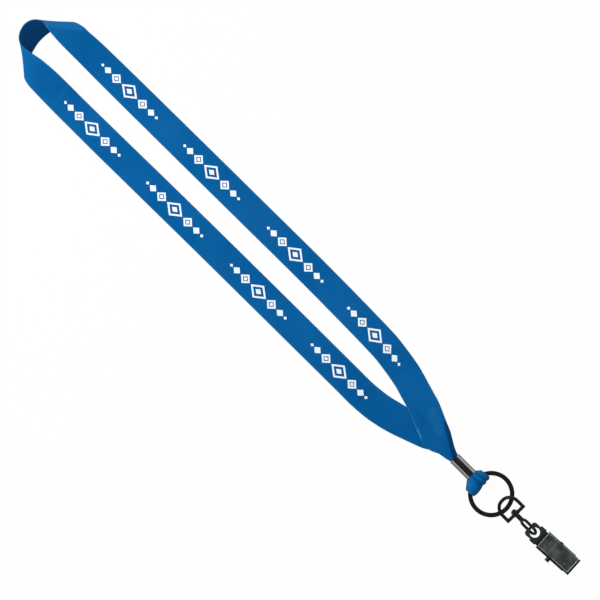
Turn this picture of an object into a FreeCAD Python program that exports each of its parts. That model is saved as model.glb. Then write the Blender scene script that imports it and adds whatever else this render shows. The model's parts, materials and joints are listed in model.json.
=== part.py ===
"""Lanyard badge holder: ribbon neck strap, crimp, split ring, swivel and sprung badge clip.

Millimetres, +Z up. The holder lies flat: the neck end is towards +Y and the clip's jaw towards -Y.
"""
import FreeCAD
import Part
import math
import os

V = FreeCAD.Vector

# Ribbon
RIBBON_WIDTH = 19.05
RIBBON_THICK = 0.6
ARM_LEFT_X = -15.0
ARM_RIGHT_X = 16.8
ARM_TOP_Y = 150.0
ARM_BOTTOM_Y = -55.0

# Neck turn
NECK_TOP_Y = 239.0
NECK_LEAN_X = 1.7
NECK_LEAN_START = -36.0
NECK_LEAN_END = -13.5
NECK_SPAN_STEPS = 3

# Gather between the arms and the crimp
GATHER_LAYER_GAP = 0.12

# Crimp sleeve
CRIMP_X = -1.7
CRIMP_TOP_Y = -136.0
CRIMP_LENGTH = 14.8
CRIMP_WIDTH = 7.4
CRIMP_HEIGHT = 4.6
CRIMP_WALL = 0.8
CRIMP_CORNER = 1.3
CRIMP_GROOVE_WIDTH = 3.0
CRIMP_GROOVE_DEPTH = 0.8
CRIMP_SEAM = 0.4
CRIMP_FILL_CLEARANCE = 0.03
CRIMP_TAIL_LENGTH = 3.0

# Split ring
RING_OUTER_R = 14.3
RING_WIRE_WIDTH = 2.8
RING_TURN_THICK = 1.05
RING_TURN_GAP = 0.1
RING_CHAMFER = 0.35
RING_STEP_ANGLE = 20.0
RING_STEP_START = 215.0
RING_STEP_SPANS = 4

# Ribbon loop round the ring
WRAP_TURN_ANGLE = 6.6
WRAP_LENGTH = 15.2
WRAP_X = -2.69
WRAP_CRIMP_GAP = 0.28
WRAP_CLEARANCE = 0.12
WRAP_WALL = 1.0
WRAP_NECK_WIDTH = 12.5
WRAP_NECK_HEIGHT = 4.4
WRAP_NECK_ROOT = 0.9

# Swivel stirrup
SWIVEL_X = 0.7
STIRRUP_REACH = 5.0
STIRRUP_LENGTH = 13.8
STIRRUP_WIDTH = 17.0
STIRRUP_WIRE_R = 1.1
STIRRUP_CROWN_R = 6.8
STIRRUP_RING_GAP = 1.5
BOSS_R = 2.3
BOSS_LENGTH = 2.6

# Swivel eye
SHANK_R = 1.2
SHANK_CLEARANCE = 0.08
SHANK_END_PLAY = 0.12
HEAD_R = 2.1
HEAD_HEIGHT = 1.7
COLLAR_R = 1.5
EYE_START_GAP = 3.2
EYE_LENGTH = 13.4
EYE_WIDTH = 7.7
EYE_WIRE_R = 0.95
EYE_ROLL = 30.0

# Badge clip: lengths run from the hinge line in the rim behind the hole towards the jaw
HINGE_FROM_EYE_END = 5.45
HINGE_DROP = 0.1
CLIP_TURN = 3.0
RIM_WIDTH = 1.7
HOLE_R = 3.2
PLATE_THICK = 0.8
CLIP_LENGTH = 37.2
TAIL_INSET = 1.05
TAIL_END_INSET = 2.2
TAIL_CHAMFER = 1.3
SHOULDER_AT = 4.5
SHOULDER_INSET = 0.1
SHOULDER_END = 8.7
WAIST_INSET = 0.75
JAW_RUN = 3.72
JAW_WIDTH = 12.0
JAW_LIP = 0.8
JAW_MEET_Z = 2.1
JAW_GAP = 0.08
TOOTH_COUNT = 5
TOOTH_DEPTH = 0.5
TOOTH_WIDTH = 1.2
LEVER_OVERLAP = 0.45
LEVER_REAR = 9.6
LEVER_REAR_Z = 7.5
LEVER_CREASE_GAP = 12.12
LEVER_CREASE_Z = 6.4
LEVER_FRONT_Z = 3.6
FLANGE_FRONT_GAP = 4.32
FLANGE_REAR_DROP = 2.0
FLANGE_LOW_Z = 0.9
PIVOT_AT = 20.7
PIVOT_Z = 2.9
PIN_R = 1.1
PIN_HEAD_R = 1.5
PIN_HEAD_LENGTH = 2.0
PIN_BUMP = 0.4
PIN_LEVER_CLEARANCE = 0.05
PIN_EAR_CLEARANCE = 0.02
EAR_HALF_LENGTH = 2.6
EAR_TOP_MARGIN = 1.0
GRIP_RIB_COUNT = 4
GRIP_RIB_HEIGHT = 0.25
GRIP_RIB_WIDTH = 0.6
GRIP_RIB_PITCH = 1.5
GRIP_RIB_START = 2.0
GRIP_RIB_MARGIN = 2.0

# Torsion spring round the pivot pin
SPRING_WIRE_R = 0.4
SPRING_COIL_R = 2.0
SPRING_PITCH = 1.3
SPRING_TURNS = 3
SPRING_LEG = 6.5

# Straight lines across the neck's ribbon on its left half: ends on the low and the top edge, as x from the
# neck's middle, y from its top and z
NECK_STATIONS = [
    ((None, -59.0, 2.2), (None, -59.0, 2.7)),
    ((None, -42.0, 4.6), (None, -36.0, 8.2)),
    ((24.8, -31.8, 6.3), (7.6, -23.0, 11.6)),
    ((24.4, -26.5, 6.6), (8.8, -14.5, 13.2)),
    ((22.1, -21.0, 5.2), (9.6, -7.8, 13.8)),
    ((16.2, -17.5, 2.4), (8.1, -4.1, 13.9)),
    ((8.4, -14.7, 0.8), (4.9, -1.4, 13.8)),
]
NECK_CREST = ((0.0, -13.5, 0.3), (0.0, 0.0, 13.7))

# Gather stations: share of the way down, drawn in on the left and on the right, share folded, layer lift
GATHER_STATIONS = [
    (0.16, 0.06, 0.07, 0.0, 0.15),
    (0.31, 0.16, 0.20, 0.0, 0.55),
    (0.46, 0.35, 0.39, 0.0, 1.0),
    (0.61, 0.63, 0.56, 0.0, 1.0),
    (0.76, 0.89, 0.77, 0.18, 1.0),
    (0.84, 1.0, 0.85, 0.50, 1.0),
    (0.92, 1.0, 0.92, 0.82, 1.0),
    (1.0, 1.0, 1.0, 1.0, 1.0),
]

# How a swept wire turns a sharp corner
MITRED = 1

# Rounds in which the two crossings of stirrup and ring are worked out
CROSSING_STEPS = 20

# Places that follow from the sizes above
CRIMP_END_Y = CRIMP_TOP_Y - CRIMP_LENGTH
RING_MID_R = RING_OUTER_R - RING_WIRE_WIDTH / 2
RING_INNER_R = RING_OUTER_R - RING_WIRE_WIDTH
RING_HALF_THICK = RING_TURN_THICK + RING_TURN_GAP / 2
WRAP_TURN = math.radians(WRAP_TURN_ANGLE)
WRAP_INNER_REACH = math.sqrt(RING_INNER_R ** 2 - (WRAP_LENGTH / 2) ** 2)
WRAP_AXIS_R = (RING_OUTER_R + WRAP_INNER_REACH) / 2
WRAP_BORE_R = math.hypot(RING_OUTER_R - WRAP_AXIS_R, RING_HALF_THICK) + WRAP_CLEARANCE
WRAP_OUTER_R = WRAP_BORE_R + WRAP_WALL
WRAP_Y = CRIMP_END_Y - WRAP_CRIMP_GAP - WRAP_OUTER_R - WRAP_LENGTH / 2 * math.sin(WRAP_TURN)
RING_X = WRAP_X + WRAP_AXIS_R * math.sin(WRAP_TURN)
RING_Y = WRAP_Y - WRAP_AXIS_R * math.cos(WRAP_TURN)
STIRRUP_APEX_Y = RING_Y - RING_INNER_R + STIRRUP_REACH
STIRRUP_OFFSET = STIRRUP_WIRE_R + RING_HALF_THICK + STIRRUP_RING_GAP
CHAIN_Z = STIRRUP_WIRE_R + STIRRUP_OFFSET
STIRRUP_HALF_WIDTH = STIRRUP_WIDTH / 2 - STIRRUP_WIRE_R
STIRRUP_ROLL = math.degrees(math.asin(STIRRUP_OFFSET / STIRRUP_HALF_WIDTH))
BASE_BAR_Y = STIRRUP_APEX_Y - STIRRUP_LENGTH + STIRRUP_WIRE_R
BOSS_FRONT_Y = BASE_BAR_Y + BOSS_LENGTH / 2
BOSS_BACK_Y = BASE_BAR_Y - BOSS_LENGTH / 2
EYE_START_Y = BOSS_BACK_Y - EYE_START_GAP
EYE_END_Y = EYE_START_Y - EYE_LENGTH
HINGE_Y = EYE_END_Y + HINGE_FROM_EYE_END
CLIP_FRONT = CLIP_LENGTH - RIM_WIDTH / 2
TAIL_WIDTH = JAW_WIDTH - 2 * TAIL_INSET
TAIL_END_WIDTH = JAW_WIDTH - 2 * TAIL_END_INSET
SHOULDER_WIDTH = JAW_WIDTH - 2 * SHOULDER_INSET
WAIST_WIDTH = JAW_WIDTH - 2 * WAIST_INSET
LEVER_WIDTH = JAW_WIDTH + 2 * LEVER_OVERLAP
JAW_AT = CLIP_FRONT - JAW_RUN
FLANGE_END = CLIP_FRONT - FLANGE_FRONT_GAP
LEVER_CREASE = CLIP_FRONT - LEVER_CREASE_GAP
HINGE_Z = CHAIN_Z - HINGE_DROP
CLIP_TILT = math.degrees(math.asin((HINGE_Z - PLATE_THICK / 2) / CLIP_FRONT))
BUNCH_WIDTH = CRIMP_WIDTH - 2 * CRIMP_WALL - 2 * CRIMP_FILL_CLEARANCE
CAVITY_BOTTOM = CRIMP_WALL
CAVITY_TOP = CRIMP_HEIGHT - CRIMP_GROOVE_DEPTH - CRIMP_WALL
BUNCH_THICK = (CAVITY_TOP - CAVITY_BOTTOM - 3 * CRIMP_FILL_CLEARANCE) / 2


def box(x0, x1, y0, y1, z0, z1):
    """A box between its six planes."""
    return Part.makeBox(x1 - x0, y1 - y0, z1 - z0, V(x0, y0, z0))


def prism_x(points, x0, x1):
    """A profile of (y, z) points, extruded along X."""
    wire = Part.makePolygon([V(x0, y, z) for y, z in points + points[:1]])
    return Part.Face(wire).extrude(V(x1 - x0, 0, 0))


def prism_z(points, z0, z1):
    """A profile of (x, y) points, extruded along Z."""
    wire = Part.makePolygon([V(x, y, z0) for x, y in points + points[:1]])
    return Part.Face(wire).extrude(V(0, 0, z1 - z0))


def arc_edge(centre, u, w, radius, start, end):
    """An arc in the plane of the unit vectors u and w, between two angles in degrees."""
    points = []
    for angle in (start, (start + end) / 2, end):
        a = math.radians(angle)
        points.append(centre + u * (radius * math.cos(a)) + w * (radius * math.sin(a)))
    return Part.Arc(*points).toShape()


def bent_wire(edges, start, direction, radius):
    """A round wire swept along edges, from its section at start."""
    path = Part.Wire(edges)
    section = Part.Wire([Part.makeCircle(radius, start, direction)])
    return path.makePipeShell([section], True, False, MITRED)


def arm(centre_x):
    """One straight arm of the ribbon, flat on the table."""
    half = RIBBON_WIDTH / 2
    return box(centre_x - half, centre_x + half, ARM_BOTTOM_Y, ARM_TOP_Y, 0, RIBBON_THICK)


def neck_edges():
    """Low and top edge points of every neck section, from the left arm over the crest to the right arm."""
    middle = (ARM_LEFT_X + ARM_RIGHT_X) / 2
    half_span = (ARM_RIGHT_X - ARM_LEFT_X) / 2
    outer = half_span + RIBBON_WIDTH / 2
    inner = half_span - RIBBON_WIDTH / 2
    start_y = ARM_TOP_Y - NECK_TOP_Y
    mid_z = RIBBON_THICK / 2

    def place(point, default_x, side):
        x = default_x if point[0] is None else point[0]
        share = (point[1] - NECK_LEAN_START) / (NECK_LEAN_END - NECK_LEAN_START)
        lean = NECK_LEAN_X * min(1.0, max(0.0, share))
        return V(middle + side * x - lean, NECK_TOP_Y + point[1], mid_z + point[2])

    start = ((None, start_y, 0.0), (None, start_y, 0.0))
    half = [start] + NECK_STATIONS
    left = [(place(low, outer, -1), place(top, inner, -1)) for low, top in half]
    crest = [(place(NECK_CREST[0], 0.0, 1), place(NECK_CREST[1], 0.0, 1))]
    right = [(place(low, outer, 1), place(top, inner, 1)) for low, top in reversed(half)]
    return smooth_pairs(left + crest + right)


def smooth_pairs(pairs):
    """Pairs of points with more pairs between them, each side on a smooth curve through its own points."""
    last = len(pairs) - 1
    smooth = []
    for i in range(last):
        spans = [pairs[max(i - 1, 0)], pairs[i], pairs[i + 1], pairs[min(i + 2, last)]]
        for k in range(NECK_SPAN_STEPS):
            t = k / NECK_SPAN_STEPS
            pair = []
            for side in (0, 1):
                a, b, c, d = (span[side] for span in spans)
                pair.append((b * 2 + (c - a) * t + (a * 2 - b * 5 + c * 4 - d) * t ** 2
                             + (b * 3 - a - c * 3 + d) * t ** 3) * 0.5)
            smooth.append(tuple(pair))
    return smooth + [pairs[last]]


def neck_section(low, top, along):
    """One cross section of the ribbon, bowed outwards where its edges stand closer than its width."""
    across = top - low
    chord = across.Length
    normal = across.cross(along)
    normal.normalize()
    bow = chord * math.sqrt(max(0.0, RIBBON_WIDTH / chord - 1.0) * 3 / 8)
    middle = (low + top) * 0.5 + normal * bow
    half = normal * (RIBBON_THICK / 2)
    edges = []
    for a, b, c in ((low + half, middle + half, top + half), (top - half, middle - half, low - half)):
        straight = bow < RIBBON_THICK / 4
        edges.append(Part.makeLine(a, c) if straight else Part.Arc(a, b, c).toShape())
    edges.insert(1, Part.makeLine(top + half, top - half))
    edges.append(Part.makeLine(low - half, low + half))
    return Part.Wire(edges)


def neck_turn():
    """The neck end: the ribbon rises, rolls on to its outer edge and leans outwards round the turn."""
    edges = neck_edges()
    middles = [(low + top) * 0.5 for low, top in edges]
    last = len(edges) - 1
    sections = []
    for i, (low, top) in enumerate(edges):
        along = middles[min(i + 1, last)] - middles[max(i - 1, 0)]
        if i == 0:
            along = V(0, 1, 0)
        if i == last:
            along = V(0, -1, 0)
        sections.append(neck_section(low, top, along))
    return Part.makeLoft(sections, True, True)


def gather(centre_x, column, upper):
    """One arm drawn in and folded down to half of the crimp's fill; the right arm lies over the left."""
    length = ARM_BOTTOM_Y - CRIMP_TOP_Y
    sections = []
    for station in [(0.0, 0.0, 0.0, 0.0, 0.0)] + GATHER_STATIONS:
        share, fold, lift = station[0], station[3], station[4]
        drawn = station[column]
        x = centre_x + (CRIMP_X - centre_x) * drawn
        half = (RIBBON_WIDTH + (BUNCH_WIDTH - RIBBON_WIDTH) * fold) / 2
        thick = RIBBON_THICK + (BUNCH_THICK - RIBBON_THICK) * fold
        bottom = (CAVITY_BOTTOM + CRIMP_FILL_CLEARANCE) * fold
        if upper:
            seat = bottom + thick + GATHER_LAYER_GAP * (1 - fold) + CRIMP_FILL_CLEARANCE * fold
            bottom = seat * lift
        sections.append((ARM_BOTTOM_Y - length * share, x, half, bottom, thick))
    y, x, half, bottom, thick = sections[-1]
    sections.append((CRIMP_END_Y + CRIMP_TAIL_LENGTH, x, half, bottom, thick))
    wires = []
    for y, x, half, bottom, thick in sections:
        corners = [V(x - half, y, bottom), V(x + half, y, bottom)]
        corners += [V(x + half, y, bottom + thick), V(x - half, y, bottom + thick)]
        wires.append(Part.makePolygon(corners + corners[:1]))
    return Part.makeLoft(wires, True, True)


def crimp_sleeve():
    """The rolled metal sleeve: two rounded ridges with a sunk band between them, and a seam underneath."""
    half = CRIMP_WIDTH / 2
    outer = box(CRIMP_X - half, CRIMP_X + half, CRIMP_END_Y, CRIMP_TOP_Y, 0, CRIMP_HEIGHT)
    rims = [e for e in outer.Edges if abs(e.tangentAt(e.FirstParameter).y) > 0.99]
    outer = outer.makeFillet(min(CRIMP_CORNER, CRIMP_HEIGHT / 2.2), rims)
    cavity_half = half - CRIMP_WALL
    cavity = box(CRIMP_X - cavity_half, CRIMP_X + cavity_half, CRIMP_END_Y, CRIMP_TOP_Y,
                 CAVITY_BOTTOM, CAVITY_TOP)
    groove_half = CRIMP_GROOVE_WIDTH / 2
    groove = box(CRIMP_X - groove_half, CRIMP_X + groove_half, CRIMP_END_Y, CRIMP_TOP_Y,
                 CRIMP_HEIGHT - CRIMP_GROOVE_DEPTH, CRIMP_HEIGHT)
    seam = box(CRIMP_X - CRIMP_SEAM / 2, CRIMP_X + CRIMP_SEAM / 2, CRIMP_END_Y, CRIMP_TOP_Y, 0, CAVITY_BOTTOM)
    return outer.cut(cavity).cut(groove).cut(seam)


def wrap_frame():
    """Middle of the hinge line through the ribbon loop, its way, and the way out from the ring's centre."""
    outward = V(-math.sin(WRAP_TURN), math.cos(WRAP_TURN), 0)
    along = V(math.cos(WRAP_TURN), math.sin(WRAP_TURN), 0)
    return V(WRAP_X, WRAP_Y, CHAIN_Z), along, outward


def ring_wrap():
    """The ribbon's loop round the ring: a bored sleeve, and a neck that narrows into the crimp."""
    centre, along, outward = wrap_frame()
    sleeve = Part.makeCylinder(WRAP_OUTER_R, WRAP_LENGTH, centre - along * (WRAP_LENGTH / 2), along)
    bore = Part.makeCylinder(WRAP_BORE_R, 2 * WRAP_LENGTH, centre - along * WRAP_LENGTH, along)
    tail_half = BUNCH_WIDTH / 2
    low = CAVITY_BOTTOM + CRIMP_FILL_CLEARANCE
    high = CAVITY_TOP - CRIMP_FILL_CLEARANCE
    tail_y = CRIMP_END_Y + CRIMP_TAIL_LENGTH - CRIMP_FILL_CLEARANCE
    tail = box(CRIMP_X - tail_half, CRIMP_X + tail_half, CRIMP_END_Y, tail_y, low, high)
    mouth = [V(CRIMP_X - tail_half, CRIMP_END_Y, low), V(CRIMP_X + tail_half, CRIMP_END_Y, low)]
    mouth += [V(CRIMP_X + tail_half, CRIMP_END_Y, high), V(CRIMP_X - tail_half, CRIMP_END_Y, high)]
    side = along * (WRAP_NECK_WIDTH / 2)
    rise = V(0, 0, WRAP_NECK_HEIGHT / 2)
    root = centre + outward * (WRAP_BORE_R * WRAP_NECK_ROOT)
    wide = [root - side - rise, root + side - rise, root + side + rise, root - side + rise]
    rims = [Part.makePolygon(corners + corners[:1]) for corners in (mouth, wide)]
    neck = Part.makeLoft(rims, True, True)
    return sleeve.fuse([neck, tail]).cut(bore).removeSplitter()


def ring_section(z_low, angle):
    """The flat wire's section at an angle in degrees, with its outer and inner corners taken off."""
    a = math.radians(angle)
    ray = V(math.cos(a), math.sin(a), 0)
    cut = min(RING_CHAMFER, RING_TURN_THICK / 3, RING_WIRE_WIDTH / 3)
    inner, outer, high = RING_INNER_R, RING_OUTER_R, RING_TURN_THICK
    profile = [(inner + cut, 0), (outer - cut, 0), (outer, cut), (outer, high - cut), (outer - cut, high),
               (inner + cut, high), (inner, high - cut), (inner, cut)]
    corners = [V(RING_X, RING_Y, z_low + z) + ray * r for r, z in profile]
    return Part.makePolygon(corners + corners[:1])


def ring_turn(z_low, sweep):
    """A flat turn of the ring, over a sweep in degrees."""
    face = Part.Face(ring_section(z_low, RING_STEP_START))
    return face.revolve(V(RING_X, RING_Y, z_low), V(0, 0, 1), sweep)


def split_ring():
    """Two flat turns of wire, joined by a short step from the lower turn to the upper one."""
    low_z = CHAIN_Z - RING_HALF_THICK
    high_z = low_z + RING_TURN_THICK + RING_TURN_GAP
    sweep = 360.0 - RING_STEP_ANGLE
    lower = ring_turn(low_z, sweep)
    upper = ring_turn(high_z, sweep)
    wires = []
    for i in range(RING_STEP_SPANS + 1):
        share = i / RING_STEP_SPANS
        angle = RING_STEP_START - RING_STEP_ANGLE * (1 - share)
        wires.append(ring_section(low_z + (high_z - low_z) * share, angle))
    step = Part.makeLoft(wires, True, True)
    return lower.fuse([step, upper])


def swivel_stirrup():
    """The D shaped loop through the ring, with a bored boss in the middle of its base bar."""
    roll = math.radians(STIRRUP_ROLL)
    side = V(math.cos(roll), 0, math.sin(roll))
    back = V(0, -1, 0)
    crown = V(SWIVEL_X, STIRRUP_APEX_Y - STIRRUP_WIRE_R - STIRRUP_CROWN_R, CHAIN_Z)
    foot = V(SWIVEL_X, BASE_BAR_Y, CHAIN_Z)
    crown_side = side * (STIRRUP_HALF_WIDTH - STIRRUP_CROWN_R)
    edge_side = side * STIRRUP_HALF_WIDTH
    crown_top = crown - back * STIRRUP_CROWN_R
    edges = [
        Part.makeLine(crown_top, crown_top + crown_side),
        arc_edge(crown + crown_side, side, back, STIRRUP_CROWN_R, -90, 0),
        Part.makeLine(crown + edge_side, foot + edge_side),
        Part.makeLine(foot + edge_side, foot - edge_side),
        Part.makeLine(foot - edge_side, crown - edge_side),
        arc_edge(crown - crown_side, side, back, STIRRUP_CROWN_R, 180, 270),
        Part.makeLine(crown_top - crown_side, crown_top),
    ]
    loop = bent_wire(edges, crown_top, side, STIRRUP_WIRE_R)
    boss_back = V(SWIVEL_X, BOSS_BACK_Y, CHAIN_Z)
    boss = Part.makeCylinder(BOSS_R, BOSS_LENGTH, boss_back, V(0, 1, 0))
    bore = Part.makeCylinder(SHANK_R + SHANK_CLEARANCE, BOSS_LENGTH, boss_back, V(0, 1, 0))
    return loop.fuse(boss).cut(bore)


def swivel_eye():
    """The swivel pin: domed head inside the stirrup, shank through its boss, and the long oval eye."""
    axis = V(0, -1, 0)
    head_y = BOSS_FRONT_Y + SHANK_END_PLAY
    dome_r = (HEAD_R ** 2 + HEAD_HEIGHT ** 2) / (2 * HEAD_HEIGHT)
    dome_centre = V(SWIVEL_X, head_y + HEAD_HEIGHT - dome_r, CHAIN_Z)
    block = Part.makeCylinder(2 * HEAD_R, 2 * HEAD_HEIGHT, V(SWIVEL_X, head_y, CHAIN_Z), V(0, 1, 0))
    head = Part.makeSphere(dome_r, dome_centre).common(block)
    collar_y = BOSS_BACK_Y - SHANK_END_PLAY
    shank = Part.makeCylinder(SHANK_R, head_y - collar_y, V(SWIVEL_X, head_y, CHAIN_Z), axis)
    collar_length = collar_y - EYE_START_Y + EYE_WIRE_R
    collar = Part.makeCylinder(COLLAR_R, collar_length, V(SWIVEL_X, collar_y, CHAIN_Z), axis)
    roll = math.radians(EYE_ROLL)
    side = V(math.sin(roll), 0, math.cos(roll))
    half = EYE_WIDTH / 2 - EYE_WIRE_R
    first = V(SWIVEL_X, EYE_START_Y - EYE_WIRE_R - half, CHAIN_Z)
    run = EYE_LENGTH - 2 * EYE_WIRE_R - 2 * half
    second = first + axis * run
    edges = [arc_edge(first, side, axis, half, -90, 0)]
    edges.append(Part.makeLine(first + side * half, second + side * half))
    edges.append(arc_edge(second, side, axis, half, 0, 90))
    edges.append(arc_edge(second, side, axis, half, 90, 180))
    edges.append(Part.makeLine(second - side * half, first - side * half))
    edges.append(arc_edge(first, side, axis, half, 180, 270))
    loop = bent_wire(edges, first - axis * half, side, EYE_WIRE_R)
    return head.fuse([shank, collar, loop])


def place_clip(shape):
    """Moves a clip piece from its own frame, hinge line at zero and jaw towards -Y, to where it lies."""
    shape.rotate(V(0, 0, 0), V(1, 0, 0), CLIP_TILT)
    shape.rotate(V(0, 0, 0), V(0, 0, 1), CLIP_TURN)
    shape.translate(V(SWIVEL_X, HINGE_Y, HINGE_Z))
    return shape


def teeth(y_front, y_back, edge_z, depth):
    """Notches across a jaw's edge, cut up or down from edge_z."""
    pitch = JAW_WIDTH / TOOTH_COUNT
    cuts = []
    for i in range(TOOTH_COUNT):
        x = -JAW_WIDTH / 2 + pitch * (i + 0.5)
        points = [V(x - TOOTH_WIDTH / 2, y_front, edge_z), V(x + TOOTH_WIDTH / 2, y_front, edge_z),
                  V(x, y_front, edge_z + depth), V(x - TOOTH_WIDTH / 2, y_front, edge_z)]
        cuts.append(Part.Face(Part.makePolygon(points)).extrude(V(0, y_back - y_front, 0)))
    return Part.makeCompound(cuts)


def clip_base():
    """The lower plate: chamfered tail with its hole, shoulders, two ears for the pin and the lower jaw."""
    low = -PLATE_THICK / 2
    high = PLATE_THICK / 2
    tail = RIM_WIDTH / 2
    half = [(TAIL_END_WIDTH / 2, tail), (TAIL_WIDTH / 2, tail - TAIL_CHAMFER), (TAIL_WIDTH / 2, -SHOULDER_AT)]
    half += [(SHOULDER_WIDTH / 2, -SHOULDER_AT), (SHOULDER_WIDTH / 2, -SHOULDER_END)]
    half += [(WAIST_WIDTH / 2, -SHOULDER_END), (WAIST_WIDTH / 2, -JAW_AT)]
    half += [(JAW_WIDTH / 2, -JAW_AT), (JAW_WIDTH / 2, -CLIP_FRONT)]
    outline = half + [(-x, y) for x, y in reversed(half)]
    plate = prism_z(outline, low, high)
    hole_y = -RIM_WIDTH / 2 - HOLE_R
    hole = Part.makeCylinder(HOLE_R, PLATE_THICK, V(0, hole_y, low))
    jaw_top = JAW_MEET_Z - JAW_GAP / 2
    jaw = box(-JAW_WIDTH / 2, JAW_WIDTH / 2, -CLIP_FRONT, -CLIP_FRONT + JAW_LIP, low, jaw_top)
    jaw = jaw.cut(teeth(-CLIP_FRONT, -CLIP_FRONT + JAW_LIP, jaw_top, -TOOTH_DEPTH))
    base = plate.cut(hole).fuse(jaw)
    ear_top = PIVOT_Z + PIN_R + EAR_TOP_MARGIN
    for side in (-1, 1):
        outer = side * WAIST_WIDTH / 2
        inner = side * (WAIST_WIDTH / 2 - PLATE_THICK)
        x0, x1 = min(outer, inner), max(outer, inner)
        foot_front, foot_back = -PIVOT_AT - EAR_HALF_LENGTH, -PIVOT_AT + EAR_HALF_LENGTH
        tip_front, tip_back = -PIVOT_AT - EAR_HALF_LENGTH / 2, -PIVOT_AT + EAR_HALF_LENGTH / 2
        profile = [(foot_front, low), (foot_back, low), (tip_back, ear_top), (tip_front, ear_top)]
        base = base.fuse(prism_x(profile, x0, x1))
    bore_start = V(-LEVER_WIDTH / 2, -PIVOT_AT, PIVOT_Z)
    bore = Part.makeCylinder(PIN_R + PIN_EAR_CLEARANCE, LEVER_WIDTH, bore_start, V(1, 0, 0))
    return place_clip(base.cut(bore).removeSplitter())


def lever_profile(drop):
    """The lever's top line from rear to front as (y, z) points, lowered by a drop."""
    line = [(-LEVER_REAR, LEVER_REAR_Z), (-LEVER_CREASE, LEVER_CREASE_Z), (-CLIP_FRONT, LEVER_FRONT_Z)]
    return [(y, z - drop) for y, z in line]


def clip_lever():
    """The upper plate: thumb panel with grip ribs, side flanges on the pin, and the upper jaw."""
    half = LEVER_WIDTH / 2
    sheet = prism_x(lever_profile(0) + lever_profile(PLATE_THICK)[::-1], -half, half)
    for side in (-1, 1):
        trim = box(min(side * JAW_WIDTH / 2, side * half), max(side * JAW_WIDTH / 2, side * half),
                   -CLIP_FRONT, -FLANGE_END, 0, LEVER_REAR_Z)
        sheet = sheet.cut(trim)
    crease_run = LEVER_CREASE - LEVER_REAR
    flange_line = [(-LEVER_REAR, LEVER_REAR_Z), (-LEVER_CREASE, LEVER_CREASE_Z)]
    slope = (LEVER_CREASE_Z - LEVER_FRONT_Z) / (CLIP_FRONT - LEVER_CREASE)
    end_z = LEVER_CREASE_Z - slope * (FLANGE_END - LEVER_CREASE)
    flange_line += [(-FLANGE_END, end_z), (-FLANGE_END, FLANGE_LOW_Z)]
    flange_line += [(-PIVOT_AT + EAR_HALF_LENGTH, FLANGE_LOW_Z)]
    flange_line += [(-LEVER_REAR, LEVER_REAR_Z - FLANGE_REAR_DROP)]
    lever = sheet
    for side in (-1, 1):
        outer = side * half
        inner = side * (half - PLATE_THICK)
        lever = lever.fuse(prism_x(flange_line, min(outer, inner), max(outer, inner)))
    jaw_low = JAW_MEET_Z + JAW_GAP / 2
    jaw = box(-JAW_WIDTH / 2, JAW_WIDTH / 2, -CLIP_FRONT, -CLIP_FRONT + JAW_LIP, jaw_low, LEVER_FRONT_Z)
    jaw = jaw.cut(teeth(-CLIP_FRONT, -CLIP_FRONT + JAW_LIP, jaw_low, TOOTH_DEPTH))
    lever = lever.fuse(jaw)
    panel_slope = (LEVER_REAR_Z - LEVER_CREASE_Z) / crease_run
    rib_half = half - GRIP_RIB_MARGIN
    for i in range(GRIP_RIB_COUNT):
        y = -LEVER_REAR - GRIP_RIB_START - i * GRIP_RIB_PITCH
        z = LEVER_REAR_Z + (y + LEVER_REAR) * panel_slope
        root = z - PLATE_THICK / 2
        profile = [(y - GRIP_RIB_WIDTH / 2, root), (y + GRIP_RIB_WIDTH / 2, root), (y, z + GRIP_RIB_HEIGHT)]
        lever = lever.fuse(prism_x(profile, -rib_half, rib_half))
    bore_start = V(-LEVER_WIDTH, -PIVOT_AT, PIVOT_Z)
    bore = Part.makeCylinder(PIN_R + PIN_LEVER_CLEARANCE, 2 * LEVER_WIDTH, bore_start, V(1, 0, 0))
    return place_clip(lever.cut(bore).removeSplitter())


def pivot_pin():
    """The pin through the ears and flanges, headed on one side and just proud on the other."""
    half = LEVER_WIDTH / 2
    play = PIN_LEVER_CLEARANCE
    across = V(1, 0, 0)
    seat = V(-half - play, -PIVOT_AT, PIVOT_Z)
    shaft = Part.makeCylinder(PIN_R, LEVER_WIDTH + play + PIN_BUMP, seat, across)
    head_end = seat - across * PIN_HEAD_LENGTH
    head = Part.makeCylinder(PIN_HEAD_R, PIN_HEAD_LENGTH, head_end, across)
    rim = [e for e in head.Edges if abs(e.CenterOfMass.x - head_end.x) < play]
    head = head.makeFillet(min(PIN_HEAD_R, PIN_HEAD_LENGTH) / 3, rim)
    return place_clip(shaft.fuse(head))


def biarc(start, start_dir, end, end_dir):
    """Two tangent arcs from a point and direction to another."""
    chord = end - start
    both = start_dir + end_dir
    a = 2 * (1 - start_dir.dot(end_dir))
    b = 2 * chord.dot(both)
    d = (-b + math.sqrt(b * b + 4 * a * chord.dot(chord))) / (2 * a)
    q0 = start + start_dir * d
    q1 = end - end_dir * d
    join = (q0 + q1) * 0.5
    edges = []
    for p, q, r in ((start, q0, join), (join, q1, end)):
        foot = (p + r) * 0.5
        half = (r - p).Length / 2
        angle = math.atan2((q - foot).Length, half)
        middle = foot + (q - foot) * (math.tan(angle / 2) / math.tan(angle))
        edges.append(Part.Arc(p, middle, r).toShape())
    return edges


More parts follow.
